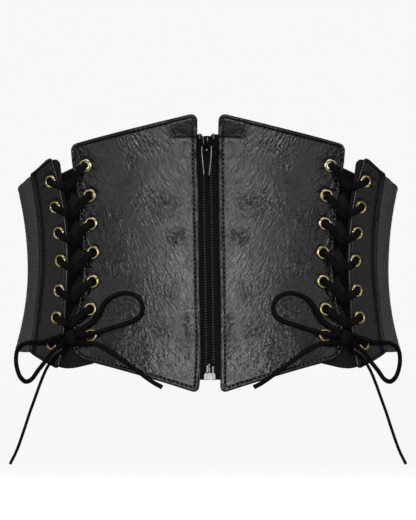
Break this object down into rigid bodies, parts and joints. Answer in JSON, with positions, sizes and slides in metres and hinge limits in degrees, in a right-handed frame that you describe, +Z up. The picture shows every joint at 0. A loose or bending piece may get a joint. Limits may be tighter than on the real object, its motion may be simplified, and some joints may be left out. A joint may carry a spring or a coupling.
{
  "type": "corset belt",
  "caption": "Wide leather corset belt: a zip down the front, a laced panel with eyelets and a bow at each side, and a stretch band round the back.",
  "frame": {"origin": "middle of the waist that the belt is worn on, at the belt's half height", "axes": "+Z up the body, -Y out of the front with the zip, +X to the right as the front is seen"},
  "size_m": [0.3074, 0.2053, 0.2655],
  "materials": {
    "leather": "semi-gloss, fine grain",
    "elastic": "ribbed, matt",
    "tape": "woven, matt",
    "lace": "braided, slight sheen",
    "brass": "polished",
    "black_metal": "glossy black",
    "steel": "bright nickel"
  },
  "bodies": {
    "belt": {"front_panel_right": "leather", "front_panel_left": "leather", "side_panel_right": "leather", "side_panel_left": "leather", "back_elastic": "elastic", "modesty_panel_right": "elastic", "modesty_panel_left": "elastic", "eyelet_front_right_1": "brass", "eyelet_front_right_2": "brass", "eyelet_front_right_3": "brass", "eyelet_front_right_4": "brass", "eyelet_front_right_5": "brass", "eyelet_front_right_6": "brass", "eyelet_front_right_7": "brass", "eyelet_front_left_1": "brass", "eyelet_front_left_2": "brass", "eyelet_front_left_3": "brass", "eyelet_front_left_4": "brass", "eyelet_front_left_5": "brass", "eyelet_front_left_6": "brass", "eyelet_front_left_7": "brass", "eyelet_side_right_1": "brass", "eyelet_side_right_2": "brass", "eyelet_side_right_3": "brass", "eyelet_side_right_4": "brass", "eyelet_side_right_5": "brass", "eyelet_side_right_6": "brass", "eyelet_side_right_7": "brass", "eyelet_side_left_1": "brass", "eyelet_side_left_2": "brass", "eyelet_side_left_3": "brass", "eyelet_side_left_4": "brass", "eyelet_side_left_5": "brass", "eyelet_side_left_6": "brass", "eyelet_side_left_7": "brass", "lace_right": "lace", "lace_left": "lace", "bow_knot_right": "lace", "bow_knot_left": "lace", "loop_in_right": "lace", "loop_in_left": "lace", "tail_in_right": "lace", "tail_in_left": "lace", "loop_out_right": "lace", "loop_out_left": "lace", "tail_out_right": "lace", "tail_out_left": "lace", "zip_tape_right": "tape", "zip_tape_left": "tape", "zip_coil_right": "tape", "zip_coil_left": "tape", "zip_top_stop_right": "steel", "zip_top_stop_left": "steel", "zip_box": "steel", "zip_pin": "steel", "zip_slider": "black_metal"},
    "pull": {"zip_pull": "black_metal"}
  },
  "joints": [
    {"name": "zip_pull_hinge", "type": "hinge", "parent": "belt", "child": "pull", "pos_m": [-0.00103, -0.10391, 0.08678], "axis": [-1, 0, 0], "range_deg": [0, 150]}
  ]
}
